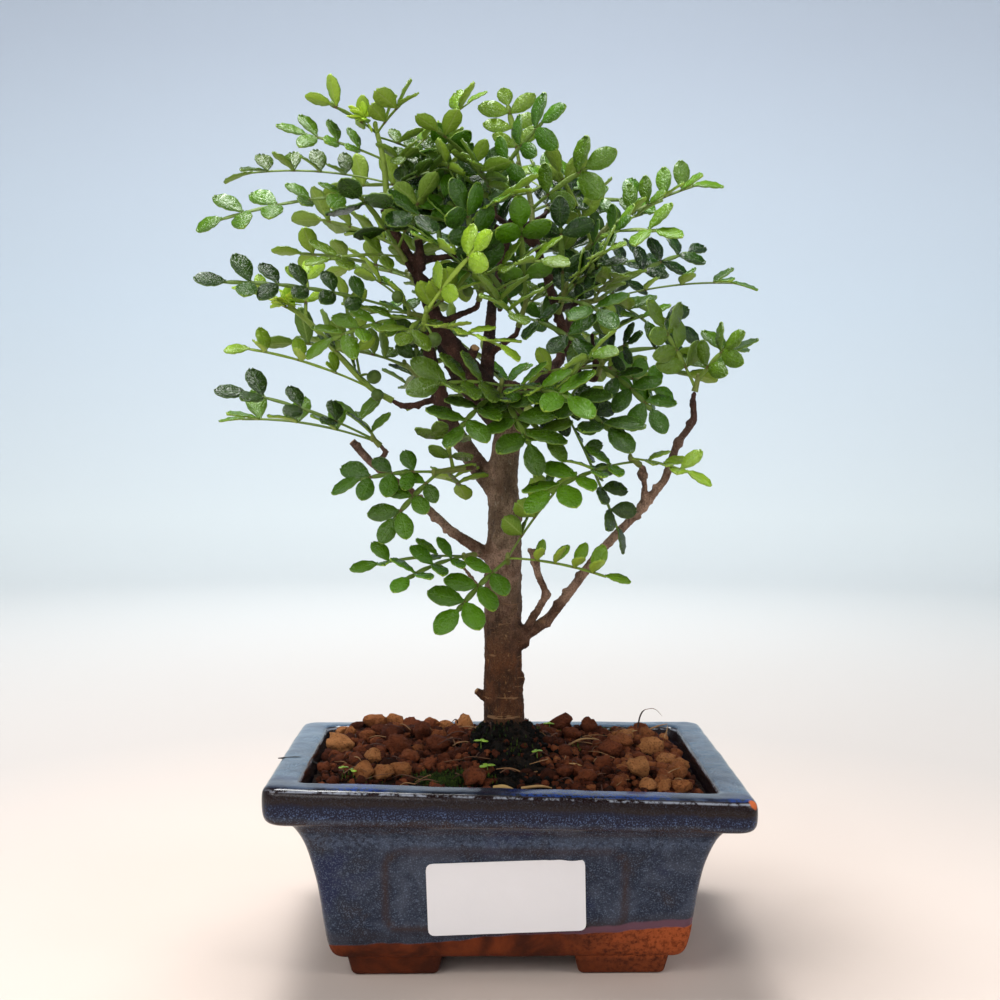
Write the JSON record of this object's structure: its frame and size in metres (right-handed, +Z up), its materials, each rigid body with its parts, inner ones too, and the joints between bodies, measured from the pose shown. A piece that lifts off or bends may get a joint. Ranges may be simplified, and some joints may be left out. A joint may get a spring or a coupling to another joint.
{
  "type": "chinese pepper bonsai",
  "caption": "Small bonsai tree with feathery glossy compound leaves on a slim trunk, growing in a rectangular glazed pot with corner feet and a plain front label.",
  "frame": {"origin": "bottom centre of the whole object's box: on the surface that the pot's feet stand on, under the middle of the box round the pot and the crown", "axes": "+X to the right and +Y to the back seen from the front, where the label is; +Z up"},
  "size_m": [0.1546, 0.1294, 0.2407],
  "materials": {
    "glaze": "glossy mottled dark blue glaze on stoneware, bare brown clay at the foot",
    "soil": "baked clay granules, rough, with a dark mound of old soil",
    "bark": "matte bark with pale specks",
    "leaf": "glossy leaf",
    "young_leaf": "satin young leaf",
    "label": "smooth white film",
    "screen": "black plastic mesh"
  },
  "bodies": {
    "root": {"drain_screen_left": "screen", "drain_screen_right": "screen", "label": "label", "pot": "glaze", "soil": "soil", "spray_back_left": "leaf", "spray_back_low_left": "leaf", "spray_back_low_middle": "leaf", "spray_back_low_right": "leaf", "spray_back_middle": "leaf", "spray_back_right": "leaf", "spray_back_top_left": "leaf", "spray_back_top_right": "leaf", "spray_centre": "leaf", "spray_front_middle": "leaf", "spray_front_new": "young_leaf", "spray_front_upper": "leaf", "spray_left_front_low": "leaf", "spray_left_low": "leaf", "spray_left_middle": "leaf", "spray_left_shoot": "young_leaf", "spray_left_tip": "leaf", "spray_left_upper": "leaf", "spray_middle_right": "leaf", "spray_right_front": "leaf", "spray_right_inner": "leaf", "spray_right_middle": "leaf", "spray_right_tip": "leaf", "spray_right_top": "leaf", "spray_right_twig": "young_leaf", "spray_top_arch": "leaf", "spray_top_centre": "leaf", "spray_top_left": "leaf", "spray_top_middle": "leaf", "spray_trunk_low": "leaf", "spray_upper_middle": "leaf", "tree": "bark"}
  },
  "joints": []
}
